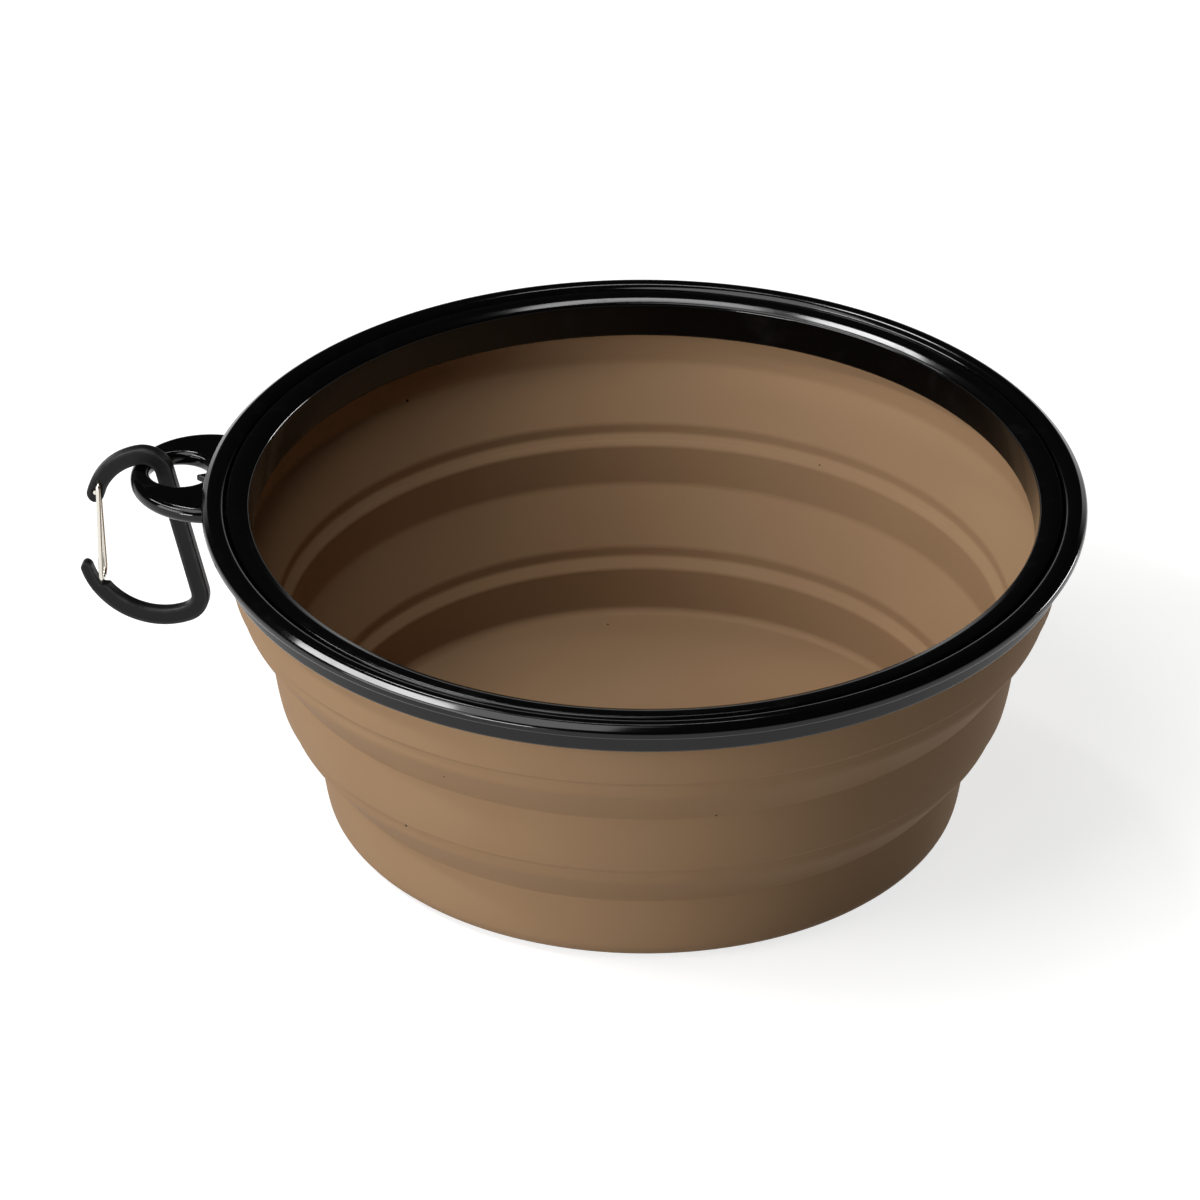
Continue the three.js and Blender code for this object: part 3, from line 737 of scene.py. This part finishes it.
loop = bmesh.new()
outer_rims = round_edge(loop, loop_tip + LOOP_RADIUS, LOOP_RADIUS, -1)
hole_rims = round_edge(loop, hole_x, LOOP_HOLE_RADIUS, 1)
for outer_rim, hole_rim in zip(outer_rims, hole_rims):
    bmesh.ops.triangle_fill(loop, edges=outer_rim + hole_rim, normal=(0, 0, 1))
bmesh.ops.remove_doubles(loop, verts=loop.verts, dist=WELD)
bmesh.ops.bisect_plane(loop, geom=loop.verts[:] + loop.edges[:] + loop.faces[:],
                       plane_co=((LOOP_CUT - skirt_outer) * MM, 0, 0), plane_no=(1, 0, 0),
                       clear_outer=True)
bmesh.ops.holes_fill(loop, edges=[edge for edge in loop.edges if edge.is_boundary])
print("loop", len(loop.faces), "faces, hole", 2 * LOOP_HOLE_RADIUS, "mm across")

# %% [markdown]
# A small spur points into the hole from the rim's side and keeps the carabiner on the bar. It is a
# flat pointed face, extruded and bevelled. Loop and spur then join the ring's mesh, since on the
# real rim they are one moulding.

# %% Spur, and all of it joined to the rim frame
SPUR_LENGTH = 2.8
SPUR_WIDTH = 2.8
SPUR_THICKNESS = 1.6
SPUR_ROOT = 1
SPUR_EDGE = 0.4
SPUR_EDGE_STEPS = 4

hole_edge = hole_x + LOOP_HOLE_RADIUS
spur_bottom = loop_middle - SPUR_THICKNESS / 2
spur_outline = [
    (hole_edge + SPUR_ROOT, -1), (hole_edge, -1), (hole_edge - SPUR_LENGTH, 0),
    (hole_edge, 1), (hole_edge + SPUR_ROOT, 1),
]
spur = bmesh.new()
tongue = spur.faces.new([
    spur.verts.new((x * MM, side * SPUR_WIDTH / 2 * MM, spur_bottom * MM))
    for x, side in spur_outline])
raised = bmesh.ops.extrude_face_region(spur, geom=[tongue], use_keep_orig=True)["geom"]
bmesh.ops.translate(spur, verts=[v for v in raised if isinstance(v, bmesh.types.BMVert)],
                    vec=(0, 0, SPUR_THICKNESS * MM))
bmesh.ops.bevel(spur, geom=spur.edges[:], offset=SPUR_EDGE * MM, offset_type="OFFSET",
                affect="EDGES", segments=SPUR_EDGE_STEPS, profile=0.5, material=-1)

for part in (loop, spur):
    held = bpy.data.meshes.new("loop_part")
    part.to_mesh(held)
    part.free()
    rim_ring.from_mesh(held)
    bpy.data.meshes.remove(held)
rim_frame = finished(rim_ring, "rim_frame_fine", gloss)
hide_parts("rim_frame")
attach(rim_frame, "rim")

# %% [markdown]
# ## Retaining ring
# The retaining ring snaps in from above and clamps the lip. Where it meets the rim frame there is a
# fine dark seam all the way round, and inside it the ring rises to a soft crest and slopes to a
# crisp edge above its inner wall. It is one more spun section.

# %% Retaining ring
RETAINER_WALL = 3
RETAINER_DROP = 5
RETAINER_INNER_ROUND = 0.6
RETAINER_OUTER_ROUND = 0.3
SEAM_RISE = 2.9
SEAM_WIDTH = 0.1
SEAM_ROUND = 0.6
CREST_RISE = 3.2
CREST_INSET = 2
CREST_ROUND = 1.1
BROW_RISE = 2.3
BROW_INSET = 4.5
BROW_ROUND = 0.5

seam_radius = skirt_inner - SEAM_WIDTH
retainer_outer = lip_radius - WALL - GAP
retainer_inner = retainer_outer - RETAINER_WALL
retainer_bottom = lip_top - RETAINER_DROP
retainer_corners = [
    (retainer_inner, retainer_bottom, RETAINER_INNER_ROUND),
    (retainer_outer, retainer_bottom, RETAINER_OUTER_ROUND),
    (retainer_outer, lip_top + GAP, 0), (seam_radius, lip_top + GAP, 0),
    (seam_radius, lip_top + SEAM_RISE, SEAM_ROUND),
    (lip_radius - CREST_INSET, lip_top + CREST_RISE, CREST_ROUND),
    (lip_radius - BROW_INSET, lip_top + BROW_RISE, BROW_ROUND),
]
retainer = finished(spun(section(retainer_corners)), "retaining_ring_fine", gloss)
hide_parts("retaining_ring")
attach(retainer, "rim")

# %% [markdown]
# ## Carabiner
# The carabiner is a flat bar bent along a chain of arcs and one straight spine. From its tip it has
# a wide hook, a tight crown over the loop's bar, the spine, a corner, and a wide bottom that ends in
# a stepped nose. Each stretch starts where the one before it ends, with the same slope, so only
# radii, angles and the spine's length are given.

# %% Carabiner's centre line
CLIP_WIDTH = 3.66
BAR_REACH = 2.06
CROWN_PLAY = 0.45
CROWN_OFFSET = 0.8
HOOK_RADIUS = 12.9
HOOK_TILT = 16
SPINE_TILT = 14
SPINE_LENGTH = 28.6
CORNER_RADIUS = 4.75
CORNER_TURN = 78
BOTTOM_RADIUS = 14.75

half_width = CLIP_WIDTH / 2
clip_origin = Vector((loop_tip + LOOP_BAR / 2, 0, loop_middle))


def polar(centre, distance, angle):
    """The point at an angle, in degrees, and a distance from a centre in the carabiner's plane."""
    turn = math.radians(angle)
    return centre + distance * Vector((math.cos(turn), 0, math.sin(turn)))


crown_radius = BAR_REACH + CROWN_PLAY + half_width
crown = clip_origin + Vector((CROWN_OFFSET, 0, 0))
hook_angle = 90 + HOOK_TILT
hook = polar(crown, HOOK_RADIUS - crown_radius, hook_angle + 180)
spine_top = polar(crown, crown_radius, SPINE_TILT)
spine_foot = polar(spine_top, SPINE_LENGTH, SPINE_TILT - 90)
corner = polar(spine_foot, CORNER_RADIUS, SPINE_TILT + 180)
corner_end = SPINE_TILT - CORNER_TURN
bottom = polar(corner, BOTTOM_RADIUS - CORNER_RADIUS, corner_end + 180)
print("hook centre", [round(x, 2) for x in hook], "bottom centre", [round(x, 2) for x in bottom])

# %% [markdown]
# ## Sweeping a bar
# The bar's section is swept by spinning it about the centre of each arc in turn, which keeps the
# bar's width true round every bend. A curve with a bevel profile would be quicker, but it gives
# little hold on the points at the nose and the tip, which have to change width.

# %% Sweeping a ring of edges
BAR_STEP = 2.5


def edges_of(geometry):
    """The edges in what an operator returns."""
    return [item for item in geometry if isinstance(item, bmesh.types.BMEdge)]


def verts_of(edges):
    """The vertices of some edges, each once."""
    return each_once(vert for edge in edges for vert in edge.verts)


def swing(bm, ring, centre, angle, axis=(0, 1, 0), degrees_per_step=BAR_STEP):
    """Sweeps a ring of edges about a centre by an angle in degrees, and returns the last ring."""
    steps = max(1, round(abs(angle) / degrees_per_step))
    swept = bmesh.ops.spin(bm, geom=verts_of(ring) + ring, cent=centre * MM, axis=axis,
                           angle=math.radians(angle), steps=steps, use_merge=False,
                           use_duplicate=False)
    return edges_of(swept["geom_last"])


def push(bm, ring, step):
    """Extends a ring of edges straight by a vector, and returns the new ring."""
    made = edges_of(bmesh.ops.extrude_edge_only(bm, edges=ring)["geom"])
    new_ring = [edge for edge in made if len(edge.link_faces) == 1]
    bmesh.ops.translate(bm, verts=verts_of(new_ring), vec=step * MM)
    return new_ring


print("one step of the bar for every", BAR_STEP, "degrees")

# %% [markdown]
# The hook's tip and the nose end in half rounds, made by pushing the section on and narrowing it
# step by step. It stops a little short of nothing, so that the last ring can be filled.

# %% Narrowing and ending a bar
END_STEPS = 8
END_SHARE = 0.02


def narrow(ring, middle, across, share):
    """Draws a ring in towards its middle along one direction, to a share of its width."""
    for vert in verts_of(ring):
        offset = (vert.co - middle * MM).dot(across)
        vert.co -= across * offset * (1 - share)


def half_round(bm, ring, middle, across, ahead, reach):
    """Ends a bar in a half round of that reach."""
    width, pushed = 1, 0
    for step in range(1, END_STEPS + 1):
        turn = math.pi / 2 * step / END_STEPS
        ring = push(bm, ring, ahead * (reach * math.sin(turn) - pushed))
        pushed = reach * math.sin(turn)
        new_width = max(math.cos(turn), END_SHARE)
        narrow(ring, middle, across, new_width / width)
        width = new_width
    bmesh.ops.edgeloop_fill(bm, edges=ring)


print("half rounds end in", END_STEPS, "steps")

# %% [markdown]
# The section is a rectangle with rounded edges. Its rounds are marked in the attribute that paints
# them paler, as wear and as painted highlight, and the points that cut its flat sides are cleared
# again, because a cut copies the mark from the ends of its edge.

# %% Section of the bar
CLIP_THICKNESS = 2.4
CLIP_EDGE = 0.35
CLIP_EDGE_STEPS = 5
CLIP_FLAT_CUTS = 4


def bar_section(bm, middle, across):
    """A rectangle across the bar at a point, with its rounds marked for paler wear and painted
    highlight.
    """
    # Rounds get the paler tone, which is partly wear and partly painted highlight.
    wear_and_highlight = bm.verts.layers.float.new(EDGE_WEAR_AND_HIGHLIGHT)
    aside, along_y = across * half_width, Vector((0, CLIP_THICKNESS / 2, 0))
    corners = [bm.verts.new((middle + aside * a + along_y * b) * MM)
               for a, b in ((-1, -1), (1, -1), (1, 1), (-1, 1))]
    for start, end in zip(corners, corners[1:] + corners[:1]):
        bm.edges.new((start, end))
    rounds = round_off(bm, corners, CLIP_EDGE, CLIP_EDGE_STEPS)
    for vert in rounds:
        vert[wear_and_highlight] = 1
    for edge in list(bm.edges):
        if edge.calc_length() > CLIP_EDGE * MM:
            cut = bmesh.ops.bisect_edges(bm, edges=[edge], cuts=CLIP_FLAT_CUTS)["geom_split"]
            for item in cut:
                if isinstance(item, bmesh.types.BMVert) and item not in rounds:
                    item[wear_and_highlight] = 0
    return list(bm.edges)


print("bar", CLIP_WIDTH, "x", CLIP_THICKNESS, "mm")

# %% [markdown]
# The sweep starts at the hook's tip and ends at the nose. Near its end the bar loses a third of its
# width on the inside, over a short slope, which makes the step that the wire gate rests in.

# %% Sweeping the carabiner
HOOK_TIP = 168
NOSE_ANGLE = 197.8
NOSE_WIDTH = 2.4
NOSE_STEP = 216
NOSE_STEP_SLOPE = 3.5

bar = bmesh.new()
tip_out = (polar(hook, 1, HOOK_TIP) - hook).normalized()
tip_ahead = Vector((-tip_out.z, 0, tip_out.x))
tip_middle = polar(hook, HOOK_RADIUS, HOOK_TIP)
first = bar_section(bar, tip_middle, tip_out)
ring = swing(bar, first, hook, HOOK_TIP - hook_angle)
ring = swing(bar, ring, crown, hook_angle - SPINE_TILT)
ring = push(bar, ring, spine_foot - spine_top)
ring = swing(bar, ring, corner, CORNER_TURN)
step_end = NOSE_STEP + NOSE_STEP_SLOPE - 360
ring = swing(bar, ring, bottom, corner_end - step_end)
ring = swing(bar, ring, bottom, NOSE_STEP_SLOPE)
nose_out = (polar(bottom, 1, NOSE_STEP) - bottom).normalized()
nose_edge = polar(bottom, BOTTOM_RADIUS + half_width, NOSE_STEP)
narrow(ring, nose_edge, nose_out, NOSE_WIDTH / CLIP_WIDTH)
ring = swing(bar, ring, bottom, NOSE_STEP - NOSE_ANGLE)
end_out = (polar(bottom, 1, NOSE_ANGLE) - bottom).normalized()
end_ahead = Vector((end_out.z, 0, -end_out.x))
end_middle = polar(bottom, BOTTOM_RADIUS + half_width - NOSE_WIDTH / 2, NOSE_ANGLE)
half_round(bar, ring, end_middle, end_out, end_ahead, NOSE_WIDTH / 2)
half_round(bar, first, tip_middle, tip_out, tip_ahead, half_width)
print("carabiner's bar", len(bar.faces), "faces")

# %% [markdown]
# The wire gate turns in one of two small holes near the hook's tip, and its other end sits in the
# second one. Holes in a finished bar are cut with a Boolean modifier, whose result becomes the
# mesh. The shading modifier is switched off meanwhile, so that it isn't baked in.

# %% Drilling the wire holes
WIRE_RADIUS = 0.5
GATE_PIVOT = 156
GATE_TAIL = 165.5
HOLE_RADIUS = WIRE_RADIUS + GAP
HOLE_SIDES = 32
gate_pivot = polar(hook, HOOK_RADIUS, GATE_PIVOT)
gate_tail = polar(hook, HOOK_RADIUS, GATE_TAIL)


def lying_along_y(middle):
    """The placing that lays something upright down along Y at a point."""
    return Matrix.Translation(middle * MM) @ Matrix.Rotation(math.pi / 2, 4, "X")


carabiner = finished(bar, "carabiner_fine", anodised)
drill = bmesh.new()
for hole in (gate_pivot, gate_tail):
    bmesh.ops.create_cone(drill, cap_ends=True, segments=HOLE_SIDES, radius1=HOLE_RADIUS * MM,
                          radius2=HOLE_RADIUS * MM, depth=2 * CLIP_THICKNESS * MM,
                          matrix=lying_along_y(hole))
drills = bpy.data.objects.new("drills", bpy.data.meshes.new("drills"))
drill.to_mesh(drills.data)
drill.free()
scene.collection.objects.link(drills)
cutter = carabiner.modifiers.new("wire_holes", "BOOLEAN")
cutter.object = drills
cutter.operation = "DIFFERENCE"
cutter.solver = "EXACT"
carabiner.modifiers["even_shading"].show_viewport = False
depsgraph = bpy.context.evaluated_depsgraph_get()
drilled = bpy.data.meshes.new_from_object(carabiner.evaluated_get(depsgraph))
carabiner.modifiers.remove(cutter)
carabiner.data = drilled
carabiner.modifiers["even_shading"].show_viewport = True
bpy.data.objects.remove(drills)
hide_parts("carabiner_body")
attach(carabiner, "clip")
print("carabiner drilled:", len(carabiner.data.polygons), "faces")

# %% [markdown]
# ## Wire gate
# The gate is one piece of wire. It starts in its hole, turns down in front of the hook, runs to a
# U-bend that rests in the nose, and comes up behind the hook. A bevelled curve could follow that
# path too. The bar's helpers are used again instead, because they make true bends and a closed
# mesh.

# %% Starting and running a wire
WIRE_SIDES = 20


def wire_ring(bm, middle):
    """A circle of edges about a wire that runs along Y at a point, with its end closed."""
    made = bmesh.ops.create_circle(bm, cap_ends=True, segments=WIRE_SIDES,
                                   radius=WIRE_RADIUS * MM, matrix=lying_along_y(middle))
    return each_once(edge for vert in made["verts"] for edge in vert.link_edges)


def run(bm, ring, step, cuts):
    """Pushes a wire straight along in a few equal steps."""
    for _ in range(cuts):
        ring = push(bm, ring, step / cuts)
    return ring


print("wire", 2 * WIRE_RADIUS, "mm thick with", WIRE_SIDES, "sides")

# %% [markdown]
# A ring of edges is pushed along each straight run of the gate and swung round each bend.

# %% Wire gate
WIRE_BEND = 0.9
WIRE_BEND_STEP = 9
WIRE_STUB = 0.9
STUB_CUTS = 2
LEG_CUTS = 6
GATE_SEAT = 212.3
ALONG_X = (1, 0, 0)

leg_y = CLIP_THICKNESS / 2 + GAP + WIRE_RADIUS
seat_radius = BOTTOM_RADIUS + half_width - NOSE_WIDTH - GAP - WIRE_RADIUS
gate_seat = polar(bottom, seat_radius, GATE_SEAT)

gate = bmesh.new()
start = gate_pivot + Vector((0, WIRE_STUB - CLIP_THICKNESS / 2, 0))
bend_y = WIRE_BEND - leg_y
bend_z = gate_pivot.z - WIRE_BEND
foot_z = gate_seat.z + leg_y
front_top = Vector((gate_pivot.x, -leg_y, bend_z))
front_foot = Vector((gate_seat.x, -leg_y, foot_z))
back_foot = Vector((gate_seat.x, leg_y, foot_z))
back_top = Vector((gate_tail.x, leg_y, gate_tail.z))
ring = wire_ring(gate, start)
ring = run(gate, ring, Vector((0, bend_y - start.y, 0)), STUB_CUTS)
ring = swing(gate, ring, Vector((gate_pivot.x, bend_y, bend_z)), 90, ALONG_X, WIRE_BEND_STEP)
ring = run(gate, ring, front_foot - front_top, LEG_CUTS)
ring = swing(gate, ring, Vector((gate_seat.x, 0, foot_z)), 180, ALONG_X, WIRE_BEND_STEP)
ring = run(gate, ring, back_top - back_foot, LEG_CUTS)
bmesh.ops.edgeloop_fill(gate, edges=ring)
wire_gate = finished(gate, "wire_gate_fine", steel)
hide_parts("wire_gate")
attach(wire_gate, "gate")

# %% [markdown]
# The tail that fills the second hole stays with the hook, because the gate turns away from it. It
# is a short straight piece of the same wire.

# %% Wire tail in the second hole
TAIL_PROUD = 0.15
TAIL_CUTS = 3

tail = bmesh.new()
tail_front = gate_tail + Vector((0, -CLIP_THICKNESS / 2 - TAIL_PROUD, 0))
ring = wire_ring(tail, tail_front)
ring = run(tail, ring, Vector((0, leg_y - WIRE_BEND - tail_front.y, 0)), TAIL_CUTS)
bmesh.ops.edgeloop_fill(tail, edges=ring)
wire_tail = finished(tail, "wire_tail", steel)
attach(wire_tail, "clip")
